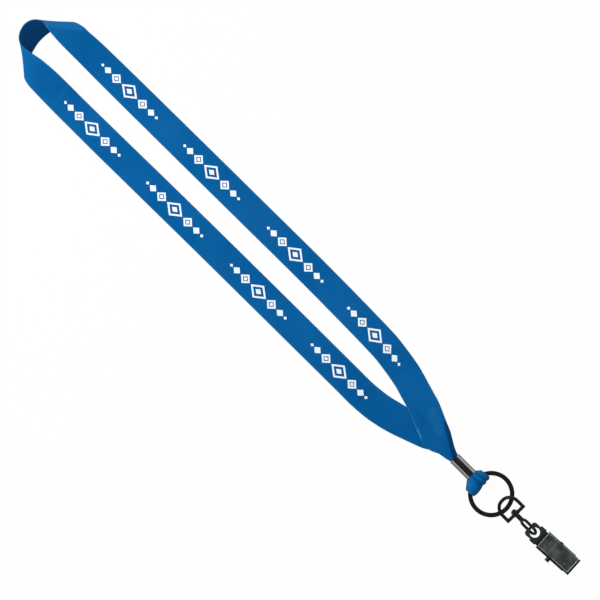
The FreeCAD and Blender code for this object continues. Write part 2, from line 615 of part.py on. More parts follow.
def torsion_spring():
    """The spring round the pin: one leg on the base plate and the other under the lever's thumb panel."""
    panel = math.atan2(LEVER_REAR_Z - LEVER_CREASE_Z, LEVER_CREASE - LEVER_REAR)
    total = 2 * math.pi * SPRING_TURNS + math.pi - panel
    pieces = 4 * SPRING_TURNS + 2
    rise = SPRING_PITCH / (2 * math.pi)
    start_x = -rise * total / 2

    def point(a):
        y = -PIVOT_AT - SPRING_COIL_R * math.sin(a)
        return V(start_x + rise * a, y, PIVOT_Z - SPRING_COIL_R * math.cos(a))

    def direction(a):
        d = V(rise, -SPRING_COIL_R * math.cos(a), SPRING_COIL_R * math.sin(a))
        d.normalize()
        return d

    begin = point(0) - direction(0) * SPRING_LEG
    edges = [Part.makeLine(begin, point(0))]
    for i in range(pieces):
        a = total * i / pieces
        b = total * (i + 1) / pieces
        edges += biarc(point(a), direction(a), point(b), direction(b))
    edges.append(Part.makeLine(point(total), point(total) + direction(total) * SPRING_LEG))
    samples = [point(total * i / 200) for i in range(201)]
    per_turn = int(200 * 2 * math.pi / total)
    gaps = [(samples[j] - samples[i]).Length - 2 * SPRING_WIRE_R
            for i in range(201) for j in range(i + per_turn // 2, 201)]
    print("spring: least gap between turns", round(min(gaps), 3), "mm")
    section = Part.Wire([Part.makeCircle(SPRING_WIRE_R, begin, direction(0))])
    return place_clip(Part.Wire(edges).makePipeShell([section], True, False))


def ring_crossings():
    """Where the stirrup passes the ring wire on its left and right, in the ring's plane."""
    crown_y = STIRRUP_APEX_Y - STIRRUP_WIRE_R - STIRRUP_CROWN_R
    points = []
    for side in (-1, 1):
        y = crown_y
        for _ in range(CROSSING_STEPS):
            rise = max(0.0, y - crown_y)
            drawn_in = STIRRUP_CROWN_R - math.sqrt(STIRRUP_CROWN_R ** 2 - rise ** 2)
            reach = (STIRRUP_HALF_WIDTH - drawn_in) * math.cos(math.radians(STIRRUP_ROLL))
            x = SWIVEL_X + side * reach
            y = RING_Y - math.sqrt(RING_MID_R ** 2 - (x - RING_X) ** 2)
        points.append(V(x, y, CHAIN_Z))
    return points


def build_all():
    """Every node of the holder by name, before the whole is set on its origin."""
    return {
        "strap_left_arm": arm(ARM_LEFT_X),
        "strap_right_arm": arm(ARM_RIGHT_X),
        "strap_neck_turn": neck_turn(),
        "strap_gather_left": gather(ARM_LEFT_X, 1, False),
        "strap_gather_right": gather(ARM_RIGHT_X, 2, True),
        "strap_ring_wrap": ring_wrap(),
        "crimp_sleeve": crimp_sleeve(),
        "split_ring": split_ring(),
        "swivel_stirrup": swivel_stirrup(),
        "swivel_eye": swivel_eye(),
        "clip_base": clip_base(),
        "clip_lever": clip_lever(),
        "pivot_pin": pivot_pin(),
        "torsion_spring": torsion_spring(),
    }


def origin_shift(nodes):
    """The move that puts the middle of the whole holder's underside at the origin."""
    whole = Part.makeCompound(list(nodes.values())).optimalBoundingBox(False, False)
    return V(-whole.Center.x, -whole.Center.y, -whole.ZMin)


NODES = build_all()
SHIFT = origin_shift(NODES)
os.makedirs("parts", exist_ok=True)
for name, shape in NODES.items():
    shape.translate(SHIFT)
    shape.exportStep(f"parts/{name}.step")
    state = "valid" if shape.isValid() else "INVALID"
    print(name, state, len(shape.Solids), "solid", round(shape.Volume, 2), "mm3")
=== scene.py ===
"""Looks of a lanyard badge holder: woven neck strap, crimp, split ring, swivel and sprung clip."""
import json
import logging
import math
from dataclasses import dataclass
from enum import Enum

import bmesh
import bpy
from mathutils import Matrix, Vector, noise


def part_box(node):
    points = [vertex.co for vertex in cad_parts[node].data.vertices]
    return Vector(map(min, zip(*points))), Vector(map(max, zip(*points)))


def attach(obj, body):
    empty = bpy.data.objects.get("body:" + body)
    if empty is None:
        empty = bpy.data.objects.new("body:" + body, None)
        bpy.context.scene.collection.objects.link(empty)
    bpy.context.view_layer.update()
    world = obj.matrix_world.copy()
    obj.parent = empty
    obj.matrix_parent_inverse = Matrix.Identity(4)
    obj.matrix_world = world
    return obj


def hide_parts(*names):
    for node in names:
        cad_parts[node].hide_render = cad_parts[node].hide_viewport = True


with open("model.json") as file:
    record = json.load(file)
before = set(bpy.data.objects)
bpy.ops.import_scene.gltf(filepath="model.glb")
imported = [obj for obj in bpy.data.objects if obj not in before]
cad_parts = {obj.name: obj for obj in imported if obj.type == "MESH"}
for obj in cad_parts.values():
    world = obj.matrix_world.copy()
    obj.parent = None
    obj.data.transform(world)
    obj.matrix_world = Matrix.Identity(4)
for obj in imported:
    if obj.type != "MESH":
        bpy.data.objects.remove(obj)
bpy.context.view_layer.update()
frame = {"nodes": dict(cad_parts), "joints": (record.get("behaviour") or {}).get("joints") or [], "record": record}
logging.basicConfig(level=logging.INFO, format="%(message)s")
log = logging.getLogger("holder")

MM = 0.001
CRIMP_X = -1.7
CRIMP_TOP_Y = -136.0
CRIMP_LOW, CRIMP_HIGH = (Vector(corner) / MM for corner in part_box("crimp_sleeve"))
LAYOUT_SHIFT = Vector(((CRIMP_LOW.x + CRIMP_HIGH.x) / 2 - CRIMP_X, CRIMP_HIGH.y - CRIMP_TOP_Y, 0.0))
IMAGE_PIXELS = 600
PIXELS_PER_MM = 1.6273
RIBBON_WIDTH = 19.05
UV_NAME = "lay"
# Vertex attribute of the ribbon and its loop: painted shade above 0, painted light below 0.
PAINTED_SHADE_NAME = "painted_fold_shade"


def at(x: float, y: float, z: float) -> Vector:
    """A place given in millimetres of the laid out holder, as metres in the shared frame.

    Args:
        x: across the holder.
        y: along it, towards the neck.
        z: above the table.
    Returns:
        The place in the shared frame.
    """
    return (Vector((x, y, z)) + LAYOUT_SHIFT) * MM


class Slot(Enum):
    """The record's material slots that the scene's own pieces stand for."""

    RIBBON = "ribbon"
    CRIMP = "crimp_metal"
    CLIP = "clip_metal"


class Body(Enum):
    """The bodies that the pieces ride on."""

    HOLDER = "holder"
    RING = "ring"
    STIRRUP = "stirrup"
    EYE = "eye"
    CLIP = "clip"
    LEVER = "lever"


BODIES = frame["record"]["behaviour"]["bodies"]
NODES_OF = {node: Body(name) for name, nodes in BODIES.items() for node in nodes}
JOINTS = {joint["name"]: joint for joint in frame["joints"]}


class Side(Enum):
    """The two arms of the strap, as the side of the holder they lie on."""

    LEFT = -1
    RIGHT = 1


class NodeBench:
    """A material's node tree, with short calls for the nodes that the finishes share."""

    def __init__(self, name: str) -> None:
        """Starts a material of that name with its principled shader."""
        self.material = bpy.data.materials.new(name)
        self.material.use_nodes = True
        self.tree = self.material.node_tree
        self.shader = self.tree.nodes["Principled BSDF"]

    def node(self, kind: str, **settings: object) -> bpy.types.Node:
        """Adds a node of that kind and sets its properties."""
        made = self.tree.nodes.new(kind)
        for key, value in settings.items():
            setattr(made, key, value)
        return made

    def feed(self, socket: bpy.types.NodeSocket, value: object) -> None:
        """Links a socket into another one, or sets a plain number there."""
        if isinstance(value, bpy.types.NodeSocket):
            self.tree.links.new(value, socket)
        else:
            socket.default_value = value

    def number(self, operation: str, *terms: object) -> bpy.types.NodeSocket:
        """A math node's result.

        Args:
            operation: the node's operation.
            terms: its sockets or numbers, in order.
        Returns:
            The socket that holds the result.
        """
        made = self.node("ShaderNodeMath", operation=operation)
        for socket, term in zip(made.inputs, terms):
            self.feed(socket, term)
        return made.outputs[0]

    def place(self) -> bpy.types.NodeSocket:
        """Object coordinates."""
        return self.node("ShaderNodeTexCoord").outputs["Object"]

    def cloth_place(self) -> bpy.types.NodeSocket:
        """The piece's own lay of cloth, in metres across and along."""
        return self.node("ShaderNodeUVMap", uv_map=UV_NAME).outputs["UV"]

    def stretched(self, place: bpy.types.NodeSocket, scale: tuple[float, float, float],
                  turn: tuple[float, float, float] = (0.0, 0.0, 0.0)) -> bpy.types.NodeSocket:
        """Coordinates scaled and turned by a mapping node.

        Args:
            place: the coordinates to start from.
            scale: the scale along each of them.
            turn: the turn about each of them, in radians.
        Returns:
            The new coordinates.
        """
        made = self.node("ShaderNodeMapping")
        self.feed(made.inputs["Vector"], place)
        made.inputs["Scale"].default_value = scale
        made.inputs["Rotation"].default_value = turn
        return made.outputs["Vector"]

    def grain(self, place: bpy.types.NodeSocket, scale: float, detail: float = 3.0,
              rough: float = 0.5) -> bpy.types.NodeSocket:
        """Noise from 0 to 1.

        Args:
            place: the coordinates to read.
            scale: how fine the noise is.
            detail: how many finer layers it has.
            rough: how strong these are.
        Returns:
            The noise's strength.
        """
        made = self.node("ShaderNodeTexNoise")
        self.feed(made.inputs["Vector"], place)
        made.inputs["Scale"].default_value = scale
        made.inputs["Detail"].default_value = detail
        made.inputs["Roughness"].default_value = rough
        return made.outputs["Fac"]

    def ramp(self, factor: bpy.types.NodeSocket, low: float, high: float) -> bpy.types.NodeSocket:
        """A factor spread from 0 at low to 1 at high, held outside them.

        Args:
            factor: the value to spread.
            low: where the result is 0.
            high: where the result is 1.
        Returns:
            The spread value.
        """
        made = self.node("ShaderNodeMapRange", clamp=True)
        self.feed(made.inputs["Value"], factor)
        made.inputs["From Min"].default_value = low
        made.inputs["From Max"].default_value = high
        return made.outputs["Result"]

    def tint(self, factor: object, first: object, second: object) -> bpy.types.NodeSocket:
        """A colour between two others.

        Args:
            factor: the share of the second colour.
            first: a socket or a colour.
            second: a socket or a colour.
        Returns:
            The mixed colour.
        """
        made = self.node("ShaderNodeMix", data_type="RGBA")
        self.feed(made.inputs[0], factor)
        self.feed(made.inputs[6], first)
        self.feed(made.inputs[7], second)
        return made.outputs[2]

    def relief(self, height: bpy.types.NodeSocket, depth: float, strength: float = 1.0,
               under: bpy.types.NodeSocket | None = None) -> bpy.types.NodeSocket:
        """A bump from a height, over another bump if one is given.

        Args:
            height: the height, about 0 to 1.
            depth: what a height of 1 stands for, in metres.
            strength: the bump's strength.
            under: the normal of a bump below this one.
        Returns:
            The new normal.
        """
        made = self.node("ShaderNodeBump")
        made.inputs["Strength"].default_value = strength
        made.inputs["Distance"].default_value = depth
        self.feed(made.inputs["Height"], height)
        if under is not None:
            self.feed(made.inputs["Normal"], under)
        return made.outputs["Normal"]

    def set(self, **values: object) -> None:
        """Sets the shader's own sockets, named with underscores for spaces."""
        for key, value in values.items():
            self.feed(self.shader.inputs[key.replace("_", " ")], value)


Colour = tuple[float, float, float, float]


@dataclass(frozen=True)
class RibbonWeave:
    """Flat woven polyester: fine plain weave, firm selvedges with a lighter tint (their own tone and a painted
    highlight), faint streaks along the threads, and painted shade and painted light from the fold-shade attribute.
    """

    name: str
    thread: Colour
    lighter: Colour
    deeper: Colour
    # painted_shade and painted_light: the colours mixed in by the painted fold-shade attribute.
    painted_shade: Colour = (0.0, 0.036, 0.12, 1.0)
    painted_light: Colour = (0.03, 0.24, 0.5, 1.0)
    # edge: lighter selvedge tint, partly the selvedge's own tone and partly a painted highlight along the edges.
    edge: Colour = (0.03, 0.2, 0.46, 1.0)
    width: float = RIBBON_WIDTH * MM
    thread_pitch: float = 0.42 * MM
    weft_share: float = 0.8
    selvedge: float = 0.8 * MM
    streaks_across: float = 2600.0
    streaks_along: float = 90.0
    cloud_scale: float = 22.0
    sheen: float = 0.01

    def dress(self) -> bpy.types.Material:
        """Builds the material."""
        bench = NodeBench(self.name)
        lay = bench.cloth_place()
        parts = bench.node("ShaderNodeSeparateXYZ")
        bench.feed(parts.inputs[0], lay)
        across, along = parts.outputs[0], parts.outputs[1]
        turn = 2 * math.pi / self.thread_pitch
        warp = bench.number("SINE", bench.number("MULTIPLY", across, turn))
        weft = bench.number("SINE", bench.number("MULTIPLY", along, turn * self.weft_share))
        weave = bench.number("MULTIPLY_ADD", bench.number("MULTIPLY", warp, weft), 0.5, 0.5)
        streaks = bench.grain(bench.stretched(lay, (self.streaks_across, self.streaks_along, 1.0)), 1.0, 2.0)
        cloudy = bench.grain(bench.place(), self.cloud_scale, 2.0)
        edge = bench.number("ABSOLUTE", bench.number("SUBTRACT", across, self.width / 2))
        rim = bench.ramp(edge, self.width / 2 - self.selvedge, self.width / 2 - self.selvedge * 0.6)
        ribs = bench.number("MULTIPLY", rim, bench.number("ABSOLUTE", warp))
        colour = bench.tint(bench.ramp(cloudy, 0.35, 0.7), self.thread, self.lighter)
        streaky = bench.number("MULTIPLY", bench.ramp(streaks, 0.45, 0.75), 0.35)
        colour = bench.tint(streaky, colour, self.deeper)
        # Lighter selvedge: its own tone plus a painted highlight along the ribbon's edges.
        colour = bench.tint(bench.number("MULTIPLY", rim, 0.35), colour, self.edge)
        # Painted shade where the attribute is above 0, painted light where it is below 0.
        depth = bench.node("ShaderNodeAttribute", attribute_name=PAINTED_SHADE_NAME).outputs["Fac"]
        colour = bench.tint(bench.ramp(depth, 0.0, 1.0), colour, self.painted_shade)
        colour = bench.tint(bench.ramp(depth, 0.0, -1.0), colour, self.painted_light)
        bench.feed(bench.shader.inputs["Base Color"], colour)
        bench.feed(bench.shader.inputs["Roughness"], bench.ramp(streaks, -1.2, 2.2))
        woven = bench.relief(weave, 0.03 * MM, 0.6)
        bench.feed(bench.shader.inputs["Normal"], bench.relief(ribs, 0.06 * MM, 0.7, woven))
        bench.set(Sheen_Weight=self.sheen, Sheen_Roughness=0.4, Specular_IOR_Level=0.02)
        return bench.material


@dataclass(frozen=True)
class PrintInk:
    """White ink laid on the ribbon, slightly broken by the weave."""

    name: str = "white_ink"
    colour: Colour = (0.86, 0.9, 0.93, 1.0)
    worn: Colour = (0.6, 0.72, 0.84, 1.0)

    def dress(self) -> bpy.types.Material:
        """Builds the material."""
        bench = NodeBench(self.name)
        specks = bench.grain(bench.place(), 1800.0, 2.0)
        bench.feed(bench.shader.inputs["Base Color"],
                   bench.tint(bench.ramp(specks, 0.6, 0.75), self.colour, self.worn))
        bench.feed(bench.shader.inputs["Normal"], bench.relief(specks, 0.02 * MM, 0.4))
        bench.set(Roughness=0.55)
        return bench.material


@dataclass(frozen=True)
class RolledMetal:
    """Bright plated sheet with lengthwise roll lines; across its top, painted reflections: a dark band down the
    middle, a highlight line and a dark line beside it, and darker sides.
    """

    name: str = "crimp_plate"
    middle_x: float = (CRIMP_LOW.x + CRIMP_HIGH.x) / 2 * MM
    painted_dark_band: Colour = (0.012, 0.012, 0.013, 1)
    painted_highlight: Colour = (0.7, 0.7, 0.71, 1)
    painted_dark_line: Colour = (0.07, 0.07, 0.072, 1)
    ridge: Colour = (0.21, 0.21, 0.22, 1)
    # side: painted dark reflection along the outer sides, also the tone that the roll lines darken towards.
    side: Colour = (0.09, 0.09, 0.092, 1)
    band_half: float = 1.95 * MM
    lip_half: float = 2.2 * MM
    groove_half: float = 2.4 * MM
    ridge_half: float = 3.2 * MM
    edge_soft: float = 0.08 * MM
    roll_lines: tuple[float, float, float] = (2600.0, 40.0, 2600.0)

    def dress(self) -> bpy.types.Material:
        """Builds the material."""
        bench = NodeBench(self.name)
        place = bench.place()
        parts = bench.node("ShaderNodeSeparateXYZ")
        bench.feed(parts.inputs[0], place)
        lines = bench.grain(bench.stretched(place, self.roll_lines), 1.0, 3.0)
        specks = bench.grain(place, 900.0, 3.0)
        off_middle = bench.number("ABSOLUTE", bench.number("SUBTRACT", parts.outputs[0], self.middle_x))
        # Out from the middle: painted dark band, painted highlight, painted dark line, plain ridge, painted dark
        # side.
        colour = self.painted_dark_band
        for half, beyond in ((self.band_half, self.painted_highlight), (self.lip_half, self.painted_dark_line),
                             (self.groove_half, self.ridge), (self.ridge_half, self.side)):
            past = bench.ramp(off_middle, half - self.edge_soft, half + self.edge_soft)
            colour = bench.tint(past, colour, beyond)
        colour = bench.tint(bench.number("MULTIPLY", bench.ramp(lines, 0.45, 0.7), 0.35), colour, self.side)
        bench.feed(bench.shader.inputs["Base Color"], colour)
        outside = bench.ramp(off_middle, self.band_half - 0.1 * MM, self.band_half)
        bench.feed(bench.shader.inputs["Metallic"], outside)
        inside = bench.number("SUBTRACT", 1.0, outside)
        rough = bench.number("MULTIPLY_ADD", lines, 0.18, 0.14)
        rough = bench.number("MAXIMUM", rough, bench.number("MULTIPLY", inside, 0.5))
        bench.feed(bench.shader.inputs["Roughness"], rough)
        fine = bench.relief(lines, 0.015 * MM, 0.5)
        spotted = bench.relief(bench.number("MULTIPLY", specks, inside), 0.05 * MM, 0.5, fine)
        bench.feed(bench.shader.inputs["Normal"], spotted)
        bench.set(Specular_IOR_Level=0.05, Specular_Tint=(0.3, 0.3, 0.3, 1.0))
        return bench.material


@dataclass(frozen=True)
class DarkMetal:
    """Dark plated or lacquered metal with a fine grain, cloudy gloss and small worn specks."""

    name: str
    colour: Colour
    worn: Colour
    metallic: float
    roughness: float
    gloss: float = 0.25
    grain: float = 700.0
    patchy: float = 0.0
    cloud_span: float = 8.0
    unevenness: float = 0.16
    depth: float = 0.02 * MM

    def dress(self) -> bpy.types.Material:
        """Builds the material."""
        bench = NodeBench(self.name)
        place = bench.place()
        fine = bench.grain(place, self.grain, 4.0, 0.6)
        cloudy = bench.grain(place, self.grain / self.cloud_span, 2.0)
        specks = bench.number("MULTIPLY", bench.ramp(fine, 0.58, 0.74), bench.ramp(cloudy, 0.4, 0.65))
        patches = bench.number("MULTIPLY", bench.ramp(cloudy, 0.35, 0.7), self.patchy)
        wear = bench.number("MAXIMUM", specks, patches)
        bench.feed(bench.shader.inputs["Base Color"], bench.tint(wear, self.colour, self.worn))
        rough = bench.number("MULTIPLY_ADD", cloudy, self.unevenness, self.roughness - self.unevenness / 2)
        bench.feed(bench.shader.inputs["Roughness"], rough)
        bench.feed(bench.shader.inputs["Normal"], bench.relief(fine, self.depth, 0.5))
        bench.set(Metallic=self.metallic, Specular_IOR_Level=self.gloss)
        return bench.material


@dataclass(frozen=True)
class PaleFloor:
    """A pale table: the camera and glossy metal see it near white, with only a faint shadow."""

    name: str = "pale_floor"
    colour: Colour = (0.9, 0.9, 0.9, 1.0)
    seen_white: float = 0.97

    def dress(self) -> bpy.types.Material:
        """Builds the material."""
        bench = NodeBench(self.name)
        tree = bench.tree
        grain = bench.grain(bench.place(), 40.0, 2.0)
        shade = tuple(c * 0.985 for c in self.colour[:3]) + (1.0,)
        bench.feed(bench.shader.inputs["Base Color"], bench.tint(grain, self.colour, shade))
        bench.set(Roughness=0.8)
        rays = bench.node("ShaderNodeLightPath")
        shiny = bench.number("MAXIMUM", rays.outputs["Is Glossy Ray"], rays.outputs["Is Transmission Ray"])
        seen = bench.number("MAXIMUM", rays.outputs["Is Camera Ray"], shiny)
        glow = bench.node("ShaderNodeEmission")
        mixed = bench.node("ShaderNodeMixShader")
        bench.feed(mixed.inputs[0], bench.number("MULTIPLY", seen, self.seen_white))
        tree.links.new(bench.shader.outputs[0], mixed.inputs[1])
        tree.links.new(glow.outputs[0], mixed.inputs[2])
        tree.links.new(mixed.outputs[0], tree.nodes["Material Output"].inputs[0])
        return bench.material


def new_piece(name: str, shape: bmesh.types.BMesh, finishes: list[bpy.types.Material], body: Body,
              smooth: bool = True) -> bpy.types.Object:
    """Makes an object from a shape, gives it its finishes and lets it ride on its body.

    Args:
        name: the object's name.
        shape: the shape, which is freed.
        finishes: its materials, in order.
        body: the body that it rides on.
        smooth: whether its faces are shaded smooth.
    Returns:
        The object.
    """
    mesh = bpy.data.meshes.new(name)
    for face in shape.faces:
        face.smooth = smooth
    shape.to_mesh(mesh)
    shape.free()
    piece = bpy.data.objects.new(name, mesh)
    bpy.context.scene.collection.objects.link(piece)
    for finish in finishes:
        mesh.materials.append(finish)
    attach(piece, body.value)
    return piece


def smooth_step(share: float) -> float:
    """An even rise from 0 to 1 as the share goes from 0 to 1."""
    held = min(1.0, max(0.0, share))
    return held * held * (3 - 2 * held)


@dataclass(frozen=True)
class ShadeLine:
    """A line on the ribbon with painted shade along a crease (strength above 0), or painted light along a facet
    (below 0).
    """

    start: tuple[float, float]
    end: tuple[float, float]
    reach: float
    strength: float
    steepness: float = 1.6

    def share(self, place: Vector) -> float:
        """How strongly the line's painted shade or painted light shows at a place.

        Args:
            place: the place, in millimetres.
        Returns:
            The strength there: above 0 is painted shade, below 0 is painted light.
        """
        start, end, spot = Vector(self.start), Vector(self.end), Vector((place.x, place.y))
        run = end - start
        along = min(1.0, max(0.0, (spot - start).dot(run) / run.length_squared))
        gap = (spot - start - run * along).length
        return self.strength * smooth_step(self.steepness * (1 - gap / self.reach))


@dataclass(frozen=True)
class Station:
    """One place along the ribbon: its outer edge, its inner edge and how far it is pleated."""

    outer: tuple[float, float, float]
    inner: tuple[float, float, float]
    pleated: float = 0.0


def flat(y: float, outer: float, inner: float, z: float = 0.3, pleated: float = 0.0,
         inner_z: float | None = None) -> Station:
    """A station whose two edges stand at the same place along the holder."""
    return Station((outer, y, z), (inner, y, z if inner_z is None else inner_z), pleated)


LEFT_STATIONS = (
    flat(-140.0, -4.4, 1.0, 1.4, 1.0), flat(-136.0, -4.7, 1.1, 1.4, 1.0), flat(-132.0, -5.7, 1.9, 1.35, 0.95),
    flat(-127.5, -6.5, 3.9, 1.2, 0.75), flat(-122.9, -8.1, 6.4, 1.0, 0.42),
    flat(-118.0, -11.1, 7.4, 0.8, 0.14), flat(-110.6, -14.0, 5.2, 0.6, 0.03), flat(-104.5, -16.2, 3.4, 0.5),
    flat(-98.3, -18.4, 1.5, 0.4), flat(-92.2, -20.2, -0.35, 0.35), flat(-86.0, -21.6, -1.9),
    flat(-79.9, -22.7, -3.3), flat(-67.6, -23.6, -4.6), flat(-55.3, -23.6, -4.7),
    flat(0.0, -23.95, -4.9), flat(60.0, -24.35, -5.35), flat(110.0, -24.85, -5.9),
    flat(150.0, -25.3, -6.5, 0.4), flat(180.0, -25.4, -6.9, 2.2, 0.0, 2.7),
    Station((-25.3, 196.5, 4.6), (-7.0, 203.0, 8.2)), Station((-25.0, 206.5, 6.3), (-8.0, 216.0, 11.6)),
    Station((-24.6, 211.5, 6.6), (-9.5, 224.0, 13.2)), Station((-22.6, 216.7, 5.2), (-10.3, 230.2, 13.8)),
    Station((-17.0, 220.8, 2.4), (-9.4, 234.2, 13.9)), Station((-9.2, 223.8, 0.8), (-6.0, 237.4, 13.8)),
)
CREST = Station((-0.8, 225.5, 0.3), (-0.9, 239.0, 13.7))
RIGHT_STATIONS = (
    flat(-140.0, 1.0, -4.4, 2.5, 1.0), flat(-136.0, 1.1, -4.5, 2.5, 1.0), flat(-132.0, 2.6, -5.1, 2.6, 0.95),
    flat(-127.5, 5.2, -6.4, 2.7, 0.75), flat(-122.9, 8.0, -8.6, 2.6, 0.42),
    flat(-116.8, 10.6, -9.8, 2.2, 0.14), flat(-110.6, 13.4, -7.4, 1.7, 0.03), flat(-104.5, 16.0, -5.0, 1.4),
    flat(-98.3, 17.8, -2.4, 1.15), flat(-92.2, 19.6, 0.0, 1.0), flat(-86.0, 21.4, 1.8, 0.85),
    flat(-79.9, 23.0, 3.6, 0.65), flat(-67.6, 25.0, 5.9, 0.35), flat(-55.3, 26.3, 7.3),
    flat(0.0, 27.15, 8.1), flat(60.0, 26.8, 7.75), flat(110.0, 26.4, 7.35),
    flat(150.0, 26.0, 7.1, 0.4), flat(180.0, 25.6, 7.0, 2.2, 0.0, 2.7),
    Station((25.2, 198.0, 4.6), (7.1, 203.0, 8.2)), Station((24.6, 208.0, 6.3), (7.2, 216.0, 11.6)),
    Station((24.2, 213.5, 6.6), (7.9, 225.3, 13.2)), Station((21.6, 219.6, 5.2), (8.9, 232.4, 13.8)),
    Station((15.4, 222.8, 2.4), (7.0, 236.0, 13.9)), Station((7.6, 225.0, 0.8), (3.6, 238.4, 13.8)),
)


@dataclass
class Ribbon:
    """The strap: one woven ribbon from the crimp up the left arm, round the neck and down the right arm."""

    width: float = RIBBON_WIDTH
    thickness: float = 0.55
    row_spacing: float = 1.2
    columns: int = 24
    pleats: float = 1.5
    pleat_height: float = 0.6
    pleat_phase: float = 0.6
    pleat_slide: float = 0.03
    neck_from: float = 150.0
    # Painted shade along creases and painted light along lit edges and facets: start, end, reach and strength in
    # millimetres, with steepness left at its default.
    shade_lines: tuple[ShadeLine, ...] = (
        ShadeLine((10.1, -118.1), (-0.4, -135.0), 3.0, 0.9), ShadeLine((12.5, -114.0), (10.1, -118.1), 2.0, 0.35),
        ShadeLine((2.6, -99.5), (-0.4, -106.5), 2.6, 0.16), ShadeLine((9.0, -106.0), (3.4, -117.0), 4.2, -0.13),
        ShadeLine((-5.4, -107.5), (-7.6, -112.5), 1.3, -0.42), ShadeLine((-0.3, -93.0), (-7.4, -112.0), 0.7, -0.3),
        ShadeLine((11.5, 229.5), (23.2, 214.0), 4.0, -0.22), ShadeLine((-24.0, 214.0), (-25.0, 196.0), 3.5, -0.06))
    wander: float = 0.18
    wander_across: float = 0.05
    wander_along: float = 0.025
    wander_seed: float = 3.0
    most_bow: float = 0.5
    bow_pleated: float = 0.02
    table_gap: float = 0.02

    def __post_init__(self) -> None:
        """Works out the rows of places across the ribbon, and how far along it each row lies."""
        stations = LEFT_STATIONS + (CREST,) + tuple(reversed(RIGHT_STATIONS))
        self.rows: list[list[Vector]] = []
        self.travel: list[float] = [0.0]
        outer, inner, pleated = self.smooth_rows(stations)
        for i, (low, top, share) in enumerate(zip(outer, inner, pleated)):
            before, after = max(i - 1, 0), min(i + 1, len(outer) - 1)
            along = (outer[after] + inner[after]) - (outer[before] + inner[before])
            self.rows.append(self.section(low, top, along, share))
        middle = self.columns // 2
        for before, after in zip(self.rows, self.rows[1:]):
            self.travel.append(self.travel[-1] + (after[middle] - before[middle]).length)

    def smooth_rows(self, stations: tuple[Station, ...]) -> tuple[list[Vector], list[Vector], list[float]]:
        """Smooth curves through the stations' edges, at an even spacing.

        Args:
            stations: the stations in order along the ribbon.
        Returns:
            The outer edge's places, the inner edge's places and the pleated shares.
        """
        knots = [Vector((*s.outer, *s.inner, s.pleated)) for s in stations]
        reach = [0.0]
        for a, b in zip(knots, knots[1:]):
            reach.append(reach[-1] + (a - b).length / math.sqrt(2))
        slopes = []
        for i in range(len(knots)):
            before, after = max(i - 1, 0), min(i + 1, len(knots) - 1)
            slopes.append((knots[after] - knots[before]) / (reach[after] - reach[before]))
        count = int(reach[-1] / self.row_spacing)
        outer, inner, pleated = [], [], []
        span = 0
        for i in range(count + 1):
            place = reach[-1] * i / count
            while span < len(knots) - 2 and place > reach[span + 1]:
                span += 1
            run = reach[span + 1] - reach[span]
            t = (place - reach[span]) / run
            knot = knots[span] * (2 * t ** 3 - 3 * t ** 2 + 1)
            knot = knot + slopes[span] * (run * (t ** 3 - 2 * t ** 2 + t))
            knot = knot + knots[span + 1] * (3 * t ** 2 - 2 * t ** 3)
            knot = knot + slopes[span + 1] * (run * (t ** 3 - t ** 2))
            outer.append(Vector(knot[0:3]))
            inner.append(Vector(knot[3:6]))
            pleated.append(min(1.0, max(0.0, knot[6])))
        return outer, inner, pleated

    def section(self, low: Vector, top: Vector, along: Vector, pleated: float) -> list[Vector]:
        """The places across the ribbon at one row, in millimetres.

        Args:
            low: the outer edge.
            top: the inner edge.
            along: the way that the ribbon runs.
            pleated: how far it is drawn into pleats, from 0 to 1.
        Returns:
            The places from the outer edge to the inner edge.
        """
        across = top - low
        normal = across.cross(along).normalized()
        chord = across.length
        bow = 0.0
        if pleated < self.bow_pleated:
            bow = min(self.most_bow, chord * math.sqrt(max(0.0, self.width / chord - 1.0) * 3 / 8))
        places = []
        for column in range(self.columns + 1):
            f = column / self.columns
            phase = 2 * math.pi * self.pleats * f + self.pleat_phase
            wave = math.sin(phase)
            slide = math.sin(2 * phase) * self.pleat_slide * pleated
            place = low + across * (f + slide * math.sin(math.pi * f))
            place = place + normal * (bow * 4 * f * (1 - f) + wave * self.pleat_height * pleated)
            spot = Vector((place.x * self.wander_across, place.y * self.wander_along, self.wander_seed))
            place = place + normal * (noise.noise(spot) * self.wander)
            place.z = max(place.z, self.thickness / 2 + self.table_gap)
            places.append(place)
        return places

    def on_surface(self, travel: float, across: float, lift: float) -> Vector:
        """A place on the ribbon's face.

        Args:
            travel: how far along the ribbon, in millimetres.
            across: how far from the outer edge, as a share of the width.
            lift: how far above the ribbon's middle layer, in millimetres.
        Returns:
            The place in the shared frame, in metres.
        """
        row = next(i for i in range(len(self.travel) - 1) if self.travel[i + 1] >= travel)
        t = (travel - self.travel[row]) / (self.travel[row + 1] - self.travel[row])
        column = min(int(across * self.columns), self.columns - 1)
        f = across * self.columns - column
        near, far = self.rows[row], self.rows[row + 1]
        start = near[column].lerp(near[column + 1], f)
        end = far[column].lerp(far[column + 1], f)
        normal = (near[column + 1] - near[column]).cross(far[column] - near[column]).normalized()
        return at(*(start.lerp(end, t) + normal * lift))

    def travel_at(self, side: Side, y: float) -> float:
        """How far along the ribbon a place on one of the arms is.

        Args:
            side: the arm.
            y: the place along the holder, in millimetres.
        Returns:
            The distance from the ribbon's first end, in millimetres.
        """
        middle = self.columns // 2
        rows = [i for i, row in enumerate(self.rows) if (row[middle].x > 0) == (side is Side.RIGHT)]
        nearest = min(rows, key=lambda i: abs(self.rows[i][middle].y - y))
        return self.travel[nearest]

